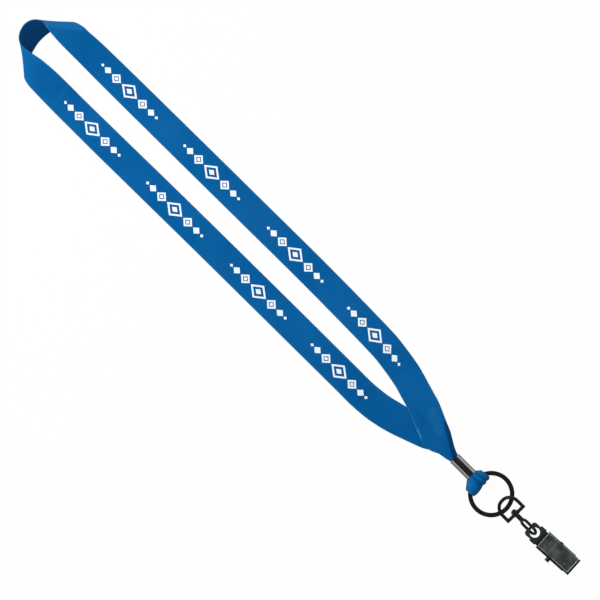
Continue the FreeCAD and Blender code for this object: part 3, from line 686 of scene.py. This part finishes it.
    def build(self, face: bpy.types.Material, back: bpy.types.Material) -> None:
        """Args:
            face: the finish of its outer face.
            back: the finish of its inner face.
        """
        shape = bmesh.new()
        uv = shape.loops.layers.uv.new(UV_NAME)
        depth = shape.verts.layers.float.new(PAINTED_SHADE_NAME)
        count = len(self.rows)
        bmesh.ops.create_grid(shape, x_segments=self.columns, y_segments=count - 1, size=0.5)
        spots = {}
        for vert in shape.verts:
            column = round((vert.co.x + 0.5) * self.columns)
            row = round((vert.co.y + 0.5) * (count - 1))
            spots[vert] = (column / self.columns * self.width * MM, self.travel[row] * MM)
            place = self.rows[row][column]
            # Painted shade and painted light from shade_lines, on the right arm and the neck.
            if row > count / 2 or place.y > self.neck_from:
                vert[depth] = sum(fold.share(place) for fold in self.shade_lines)
            vert.co = at(*place)
        for found in shape.faces:
            for loop in found.loops:
                loop[uv].uv = spots[loop.vert]
        piece = new_piece("ribbon_strap", shape, [face, back], Body.HOLDER)
        wall = piece.modifiers.new("cloth", "SOLIDIFY")
        wall.thickness = self.thickness * MM
        wall.offset = 0.0
        wall.material_offset = 1
        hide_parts("strap_left_arm", "strap_right_arm", "strap_neck_turn", "strap_gather_left",
                    "strap_gather_right")
        log.info("ribbon_strap: %d rows, %.1f mm long", count, self.travel[-1])


@dataclass
class PrintedMotif:
    """A row of white diamonds, largest in the middle, printed again and again along both arms."""

    places_y: tuple[float, ...] = (165.0, 93.5, 22.0, -48.5)
    diamonds: tuple[tuple[float, float, float], ...] = (
        (0.0, 13.0, 10.0), (-11.2, 7.6, 7.0), (11.2, 7.6, 7.0), (-18.6, 5.4, 4.8), (18.6, 5.4, 4.8),
        (-23.2, 2.4, 2.2), (23.2, 2.4, 2.2))
    stroke: float = 1.1
    least_hollow: float = 4.4
    core_share: float = 0.36
    ink_lift: float = 0.045
    ink_thickness: float = 0.03

    def diamond(self, shape: bmesh.types.BMesh, offset: float, long: float, tall: float) -> None:
        """Adds one diamond outline, with a small solid one inside it where there is room.

        Args:
            shape: the shape to add to.
            offset: its middle along the row, in millimetres.
            long: its length along the row.
            tall: its height across the row.
        """
        place = Matrix.Translation((offset, 0.0, 0.0)) @ Matrix.Diagonal((long / 2, tall / 2, 1.0, 1.0))
        made = bmesh.ops.create_circle(shape, cap_ends=True, segments=4, radius=1.0, matrix=place)
        panel = made["verts"][0].link_faces[0]
        if tall > self.least_hollow:
            bmesh.ops.inset_region(shape, faces=[panel], thickness=self.stroke, use_even_offset=True,
                                   use_boundary=True)
            bmesh.ops.delete(shape, geom=[panel], context="FACES_ONLY")
            core = place @ Matrix.Diagonal((self.core_share, self.core_share, 1.0, 1.0))
            bmesh.ops.create_circle(shape, cap_ends=True, segments=4, radius=1.0, matrix=core)

    def build(self, ribbon: Ribbon, ink: bpy.types.Material) -> None:
        """Prints the motifs on both arms, as one piece for each.

        Args:
            ribbon: the ribbon that carries them.
            ink: their finish.
        """
        for side in Side:
            whole = bmesh.new()
            for y in self.places_y:
                start = ribbon.travel_at(side, y)
                shape = bmesh.new()
                for offset, long, tall in self.diamonds:
                    self.diamond(shape, offset, long, tall)
                bmesh.ops.subdivide_edges(shape, edges=shape.edges[:], cuts=3, use_grid_fill=True)
                for vert in shape.verts:
                    share = 0.5 + vert.co.y / ribbon.width
                    lift = ribbon.thickness / 2 + self.ink_lift
                    vert.co = ribbon.on_surface(start + vert.co.x, share, lift)
                motif = bpy.data.meshes.new("motif")
                shape.to_mesh(motif)
                whole.from_mesh(motif)
                shape.free()
            piece = new_piece(f"print_{side.name.lower()}_arm", whole, [ink], Body.HOLDER, smooth=False)
            coat = piece.modifiers.new("ink", "SOLIDIFY")
            coat.thickness = self.ink_thickness * MM
            coat.offset = 1.0
            log.info("%s: %d motifs", piece.name, len(self.places_y))


@dataclass
class RingLoop:
    """The ribbon's pleated loop: it fans out of the crimp, goes round the split ring and comes back under, with
    painted shade in its folds and on the part that comes back under.
    """

    mouth_y: float = CRIMP_LOW.y + 0.8
    mouth_half: float = 2.8
    fan_half: float = 7.6
    bore: float = 3.3
    lobe_height: float = 1.0
    lobes: tuple[tuple[float, float], ...] = ((0.0, 0.58), (0.58, 0.8), (0.8, 1.0))
    thickness: float = 0.5
    flat_length: float = 26.0
    lean: float = math.radians(38.0)
    leg: float = 0.24
    upper_rise: float = 2.45
    lower_rise: float = 1.35
    rise_swell: float = 0.35
    table_gap: float = 0.03
    # Painted shade in the folds between lobes and on the part that comes back under; painted light near the edge
    # where f is 0.
    fold_shade: float = 0.8
    left_fade: float = 3.0
    right_fade: float = 8.0
    under_shade_from: float = 0.32
    under_shade_over: float = 0.3
    lit_share: float = 0.1
    lit_fade: float = 1.6
    columns: int = 90
    rows: int = 64

    def lobe(self, f: float) -> float:
        """How far a place stands out of the folds, from 0 in a fold to 1 on a lobe."""
        for start, end in self.lobes:
            if f <= end:
                return math.sqrt(max(0.0, math.sin(math.pi * (f - start) / (end - start))))
        return 0.0

    def place(self, f: float, g: float) -> Vector:
        """A place on the loop.

        Args:
            f: across the loop, from 0 to 1.
            g: along the ribbon, from the mouth's upper side to its lower side, from 0 to 1.
        Returns:
            The place in the shared frame.
        """
        along = Vector(JOINTS["ring_swing"]["axis"])
        outward = Vector((-along.y, along.x, 0.0))
        centre = Vector(JOINTS["ring_swing"]["pos_m"]) / MM
        lobe = self.lobe(f)
        radius = self.bore + self.thickness / 2 + self.lobe_height * lobe
        if self.leg <= g <= 1 - self.leg:
            angle = math.pi / 2 - self.lean + (math.pi + 2 * self.lean) * (g - self.leg) / (1 - 2 * self.leg)
            ring_side = centre + along * ((f - 0.5) * 2 * self.fan_half)
            ring_side += outward * (radius * math.cos(angle)) + Vector((0, 0, radius * math.sin(angle)))
            return ring_side * MM
        upper = g < self.leg
        share = (g if upper else 1 - g) / self.leg
        angle = math.pi / 2 - self.lean if upper else 3 * math.pi / 2 + self.lean
        end = centre + along * ((f - 0.5) * 2 * self.fan_half)
        end += outward * (radius * math.cos(angle)) + Vector((0, 0, radius * math.sin(angle)))
        swell = self.rise_swell * lobe
        rise = self.upper_rise + swell if upper else self.lower_rise - swell
        middle = (CRIMP_LOW.x + CRIMP_HIGH.x) / 2
        start = Vector((middle + (f - 0.5) * 2 * self.mouth_half, self.mouth_y, rise))
        spread = start.lerp(end, share)
        spread.z = start.z + (end.z - start.z) * smooth_step(share)
        return spread * MM

    def build(self, face: bpy.types.Material, back: bpy.types.Material) -> None:
        """Args:
            face: the finish of its outer face.
            back: the finish of its inner face.
        """
        shape = bmesh.new()
        uv = shape.loops.layers.uv.new(UV_NAME)
        depth = shape.verts.layers.float.new(PAINTED_SHADE_NAME)
        bmesh.ops.create_grid(shape, x_segments=self.columns, y_segments=self.rows, size=0.5)
        spots = {}
        for vert in shape.verts:
            f, g = vert.co.x + 0.5, 0.5 - vert.co.y
            # Painted shade in the folds and past under_shade_from, less painted light near f = 0.
            within = smooth_step(f * self.left_fade) * smooth_step((1 - f) * self.right_fade)
            under = smooth_step((g - self.under_shade_from) / self.under_shade_over)
            painted_light = self.lit_share * smooth_step(1 - f * self.lit_fade)
            vert[depth] = self.fold_shade * max((1 - self.lobe(f)) * within, under) - painted_light
            spots[vert] = (f * RIBBON_WIDTH * MM, g * self.flat_length * MM)
            vert.co = self.place(f, g)
            vert.co.z = max(vert.co.z, (self.thickness / 2 + self.table_gap) * MM)
        for found in shape.faces:
            for loop in found.loops:
                loop[uv].uv = spots[loop.vert]
        piece = new_piece("ribbon_loop", shape, [face, back], Body.HOLDER)
        wall = piece.modifiers.new("cloth", "SOLIDIFY")
        wall.thickness = self.thickness * MM
        wall.offset = 0.0
        wall.material_offset = 1
        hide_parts("strap_ring_wrap")
        log.info("ribbon_loop: %d lobes", len(self.lobes))


@dataclass
class StampedMetal:
    """The stamped metal pieces: each takes its solid's own shape and gets softened edges."""

    round_over: float = 0.1 * MM
    least_turn: float = math.radians(28.0)
    least_edge: float = 0.8 * MM
    crease_turn: float = math.radians(20.0)
    flat_turn: float = math.radians(0.5)
    weld: float = 0.001 * MM

    def shape_of(self, node: str) -> bmesh.types.BMesh:
        """A copy of a node's shape, with flat faces joined up.

        Args:
            node: the node's name.
        Returns:
            The shape.
        """
        shape = bmesh.new()
        shape.from_mesh(frame["nodes"][node].data)
        bmesh.ops.remove_doubles(shape, verts=shape.verts[:], dist=self.weld)
        bmesh.ops.dissolve_limit(shape, angle_limit=self.flat_turn, verts=shape.verts[:],
                                 edges=shape.edges[:])
        return shape

    def soften(self, shape: bmesh.types.BMesh) -> None:
        """Rounds the long sharp edges over and marks what stays crisp.

        Args:
            shape: the shape to work on.
        """
        sharp = [edge for edge in shape.edges if edge.calc_face_angle(0.0) > self.least_turn
                 and edge.calc_length() > self.least_edge]
        bmesh.ops.bevel(shape, geom=sharp, offset=self.round_over, offset_type="OFFSET", segments=2,
                        profile=0.5, affect="EDGES", material=-1, clamp_overlap=False)
        for edge in shape.edges:
            edge.smooth = edge.calc_face_angle(0.0) < self.crease_turn

    def build(self, node: str, name: str, slot: Slot, finish: bpy.types.Material) -> None:
        """Makes the piece that stands for a node.

        Args:
            node: the node's name.
            name: the piece's name.
            slot: the record's slot; not used.
            finish: its finish.
        """
        shape = self.shape_of(node)
        self.soften(shape)
        log.info("%s: %d faces", name, len(shape.faces))
        piece = new_piece(name, shape, [finish], NODES_OF[node])
        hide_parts(node)


@dataclass
class ClipLever(StampedMetal):
    """The clip's upper plate: a rubbed panel in a border painted dark as shade, with raised lines round it in
    bright metal that is partly painted highlight.
    """

    left_border: float = 1.5
    right_border: float = 0.55
    rear_border: float = 0.35
    front_border: float = 1.35
    line_width: float = 0.32
    line_rise: float = 0.1
    line_bevel: float = 0.04
    panel_area: float = 30.0 * MM ** 2
    least_upward: float = 0.9

    def borders(self) -> list[tuple[Vector, Vector]]:
        """Planes round the panel, each as a place and the way out of the panel.

        Returns:
            The left, right, rear and front plane.
        """
        across = -Vector(JOINTS["lever_open"]["axis"])
        corners = [Vector(vert.co) for vert in frame["nodes"]["clip_lever"].data.vertices]
        along = Vector((across.y, -across.x, 0.0))
        planes = []
        for way, inset in ((-across, self.left_border), (across, self.right_border),
                           (-along, self.rear_border), (along, self.front_border)):
            edge = max(corners, key=lambda corner: corner.dot(way))
            planes.append((edge - way * (inset * MM), way))
        return planes

    def line(self, shape: bmesh.types.BMesh, start: Vector, end: Vector, normal: Vector) -> None:
        """Adds one raised line on the panel, bevelled along its top.

        Args:
            shape: the shape to add to.
            start: one end of it, in metres.
            end: the other end.
            normal: the panel's normal.
        """
        along = end - start
        beside = normal.cross(along).normalized()
        turn = Matrix((along.normalized(), beside, normal)).transposed().to_4x4()
        size = Matrix.Diagonal((along.length, self.line_width * MM, 2 * self.line_rise * MM, 1.0))
        place = Matrix.Translation((start + end) / 2) @ turn @ size
        made = bmesh.ops.create_cube(shape, size=1.0, matrix=place)
        edges = {edge for vert in made["verts"] for edge in vert.link_edges}
        bmesh.ops.bevel(shape, geom=list(edges), offset=self.line_bevel * MM, offset_type="OFFSET",
                        segments=1, profile=0.5, affect="EDGES", material=-1)

    def build_lever(self, panel: bpy.types.Material, painted_shade_border: bpy.types.Material,
                    rubbed_and_highlight: bpy.types.Material) -> None:
        """Makes the lever and the raised lines on it.

        Args:
            panel: the finish inside the border.
            painted_shade_border: the finish of the border, the flanges and the jaw, darker as painted shade.
            rubbed_and_highlight: the finish of the raised lines, bright as rubbed wear and painted highlight.
        """
        shape = self.shape_of("clip_lever")
        planes = self.borders()
        for spot, way in planes:
            whole = shape.verts[:] + shape.edges[:] + shape.faces[:]
            bmesh.ops.bisect_plane(shape, geom=whole, plane_co=spot, plane_no=way)
        lines = bmesh.new()
        parts: list[bmesh.types.BMFace] = []
        for face in shape.faces:
            middle = face.calc_center_median()
            inside = all((middle - spot).dot(way) < 0 for spot, way in planes)
            # Faces outside the panel or not facing up take the darker finish: painted shade.
            face.material_index = 0 if inside and face.normal.z > self.least_upward else 1
            if face.material_index == 0 and face.calc_area() > self.panel_area:
                parts.append(face)
        parts.sort(key=lambda part: part.calc_center_median().dot(planes[3][1]))
        for i, part in enumerate(parts):
            self.outline(lines, part, planes, i == 0, i == len(parts) - 1)
        self.soften(shape)
        lever = new_piece("lever_plate", shape, [panel, painted_shade_border], Body.LEVER)
        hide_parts("clip_lever")
        new_piece("lever_raised_lines", lines, [rubbed_and_highlight], Body.LEVER, smooth=False)
        log.info("lever_plate and lever_raised_lines")

    def outline(self, lines: bmesh.types.BMesh, face: bmesh.types.BMFace, planes: list[tuple[Vector, Vector]],
                rear: bool, front: bool) -> None:
        """Lays the raised lines along one flat part of the panel.

        Args:
            lines: the shape to add to.
            face: that part's face.
            planes: the planes round the panel.
            rear: whether a line runs across its rear end.
            front: whether a line runs across its front end.
        """
        across, along = planes[1][1], planes[3][1]
        normal = face.normal.copy()
        slope = (along - normal * along.dot(normal)).normalized()
        corners = [loop.vert.co for loop in face.loops]
        middle = face.calc_center_median()
        reach = [(corner - middle).dot(slope) for corner in corners]
        width = [(corner - middle).dot(across) for corner in corners]
        half = self.line_width * MM / 2
        low, high = min(reach) + half, max(reach) - half
        left, right = min(width) + half, max(width) - half
        round_it = ((low, left), (low, right), (high, right), (high, left))
        spots = [middle + slope * s + across * a for s, a in round_it]
        for start, end, wanted in zip(spots, spots[1:] + spots[:1], (rear, True, front, True)):
            if wanted:
                self.line(lines, start, end, normal)


@dataclass
class Fittings:
    """The metal pieces and the finish that each of them gets."""

    ring: DarkMetal = DarkMetal(
        "ring_lacquer", (0.0035, 0.0035, 0.004, 1), (0.02, 0.02, 0.02, 1),
        metallic=0.0, roughness=0.24, gloss=0.1)
    swivel: DarkMetal = DarkMetal(
        "swivel_plate", (0.006, 0.0065, 0.007, 1), (0.03, 0.03, 0.03, 1),
        metallic=0.2, roughness=0.34, gloss=0.12)
    plate: DarkMetal = DarkMetal(
        "clip_plate", (0.022, 0.026, 0.027, 1), (0.06, 0.065, 0.07, 1),
        metallic=0.5, roughness=0.36, gloss=0.15, grain=900.0)
    panel: DarkMetal = DarkMetal(
        "clip_panel", (0.02, 0.025, 0.026, 1), (0.1, 0.11, 0.11, 1),
        metallic=0.7, roughness=0.3, gloss=0.3, grain=1400.0, patchy=0.7)
    # Painted shade: a darker copy of the clip's metal for the border, flanges and jaw.
    painted_shade_border: DarkMetal = DarkMetal(
        "clip_painted_shade_border", (0.005, 0.0065, 0.007, 1), (0.03, 0.03, 0.03, 1),
        metallic=0.4, roughness=0.34, gloss=0.15, grain=900.0)
    # Bright raised lines: rubbed wear and painted highlight.
    rubbed_and_highlight: DarkMetal = DarkMetal(
        "clip_rubbed_and_highlight", (0.3, 0.32, 0.32, 1), (0.6, 0.62, 0.62, 1),
        metallic=0.9, roughness=0.28, gloss=0.5, grain=900.0)
    spring: DarkMetal = DarkMetal(
        "spring_wire", (0.2, 0.2, 0.21, 1), (0.4, 0.4, 0.4, 1),
        metallic=1.0, roughness=0.3, gloss=0.5)

    def build(self) -> None:
        """Dresses the round pieces' own solids and makes the stamped ones."""
        swivel, plate = self.swivel.dress(), self.plate.dress()
        finishes = {"split_ring": self.ring.dress(), "swivel_stirrup": swivel, "swivel_eye": swivel,
                    "torsion_spring": self.spring.dress()}
        for node, finish in finishes.items():
            piece = frame["nodes"][node]
            piece.data.materials.clear()
            piece.data.materials.append(finish)
            log.info("%s: %s", node, finish.name)
        stamped = StampedMetal()
        stamped.build("crimp_sleeve", "crimp_shell", Slot.CRIMP, RolledMetal().dress())
        stamped.build("clip_base", "base_plate", Slot.CLIP, plate)
        stamped.build("pivot_pin", "hinge_pin", Slot.CLIP, plate)
        ClipLever().build_lever(self.panel.dress(), self.painted_shade_border.dress(), self.rubbed_and_highlight.dress())


@dataclass(frozen=True)
class Lamp:
    """A soft square lamp that faces the holder: its place and width in metres, and its power in watts."""

    name: str
    place: tuple[float, float, float]
    size: float
    power: float

    def hang(self) -> None:
        """Hangs the lamp at its place."""
        data = bpy.data.lights.new(self.name, "AREA")
        data.size = self.size
        data.energy = self.power
        piece = bpy.data.objects.new(self.name, data)
        piece.location = self.place
        piece.rotation_mode = "QUATERNION"
        piece.rotation_quaternion = (-Vector(self.place)).to_track_quat("-Z", "Y")
        bpy.context.scene.collection.objects.link(piece)


@dataclass
class Studio:
    """The pale floor, the soft lamps and the camera that looks straight down, turned as the photograph is."""

    turn: float = math.radians(-45.0)
    lens: float = 900.0
    sensor: float = 36.0
    nearest_seen: float = 0.5
    farthest_share: float = 3.0
    middle: tuple[float, float] = (-0.11, -0.16)
    floor_half: float = 6.0
    floor_drop: float = 0.05 * MM
    surround_level: float = 0.42
    lamps: tuple[Lamp, ...] = (
        Lamp("key", (-0.25, 0.7, 0.75), 0.5, 8.5), Lamp("fill", (0.6, -0.3, 0.9), 0.8, 2.0))

    def camera(self) -> None:
        """Hangs the camera above the holder, so far up that the image shows the photograph's frame."""
        data = bpy.data.cameras.new("camera")
        data.lens = self.lens
        data.sensor_width = self.sensor
        shown = IMAGE_PIXELS / PIXELS_PER_MM * MM
        height = shown * self.lens / self.sensor
        data.clip_start, data.clip_end = self.nearest_seen, height * self.farthest_share
        piece = bpy.data.objects.new("camera", data)
        piece.location = at(*self.middle, height / MM)
        piece.rotation_euler = (0.0, 0.0, self.turn)
        bpy.context.scene.collection.objects.link(piece)
        bpy.context.scene.camera = piece

    def floor(self) -> None:
        """Lays the pale floor just under the holder."""
        shape = bmesh.new()
        bmesh.ops.create_grid(shape, x_segments=8, y_segments=8, size=self.floor_half)
        bmesh.ops.translate(shape, verts=shape.verts[:], vec=(0.0, 0.0, -self.floor_drop))
        mesh = bpy.data.meshes.new("floor")
        shape.to_mesh(mesh)
        shape.free()
        piece = bpy.data.objects.new("floor", mesh)
        mesh.materials.append(PaleFloor().dress())
        bpy.context.scene.collection.objects.link(piece)

    def world(self) -> None:
        """A soft even surround, white where the camera or glossy metal sees it."""
        world = bpy.data.worlds.new("surround")
        world.use_nodes = True
        tree = world.node_tree
        rays = tree.nodes.new("ShaderNodeLightPath")
        most = tree.nodes.new("ShaderNodeMath")
        most.operation = "MAXIMUM"
        shiny = tree.nodes.new("ShaderNodeMath")
        shiny.operation = "MAXIMUM"
        tree.links.new(rays.outputs["Is Glossy Ray"], shiny.inputs[0])
        tree.links.new(rays.outputs["Is Transmission Ray"], shiny.inputs[1])
        tree.links.new(rays.outputs["Is Camera Ray"], most.inputs[0])
        tree.links.new(shiny.outputs[0], most.inputs[1])
        level = tree.nodes.new("ShaderNodeMapRange")
        level.inputs["To Min"].default_value = self.surround_level
        level.inputs["To Max"].default_value = 1.0
        tree.links.new(most.outputs[0], level.inputs["Value"])
        tree.links.new(level.outputs["Result"], tree.nodes["Background"].inputs["Strength"])
        tree.nodes["Background"].inputs["Color"].default_value = (1.0, 1.0, 1.0, 1.0)
        bpy.context.scene.world = world

    def build(self) -> None:
        """Sets up the whole studio."""
        bpy.context.scene.view_settings.view_transform = "Standard"
        self.camera()
        self.floor()
        self.world()
        for lamp in self.lamps:
            lamp.hang()


def main() -> None:
    """Builds the studio and every piece of the holder."""
    Studio().build()
    face = RibbonWeave("ribbon_face", (0.001, 0.096, 0.3, 1), (0.004, 0.118, 0.345, 1), (0.0, 0.075, 0.25, 1))
    # The back's darker blue: the reverse side's own duller tone, partly painted shade.
    back = RibbonWeave("ribbon_back", (0.0, 0.052, 0.175, 1), (0.001, 0.06, 0.195, 1), (0.0, 0.042, 0.145, 1))
    face_finish, back_finish = face.dress(), back.dress()
    ribbon = Ribbon()
    ribbon.build(face_finish, back_finish)
    PrintedMotif().build(ribbon, PrintInk().dress())
    RingLoop().build(face_finish, back_finish)
    Fittings().build()


if __name__ == "__main__":
    main()
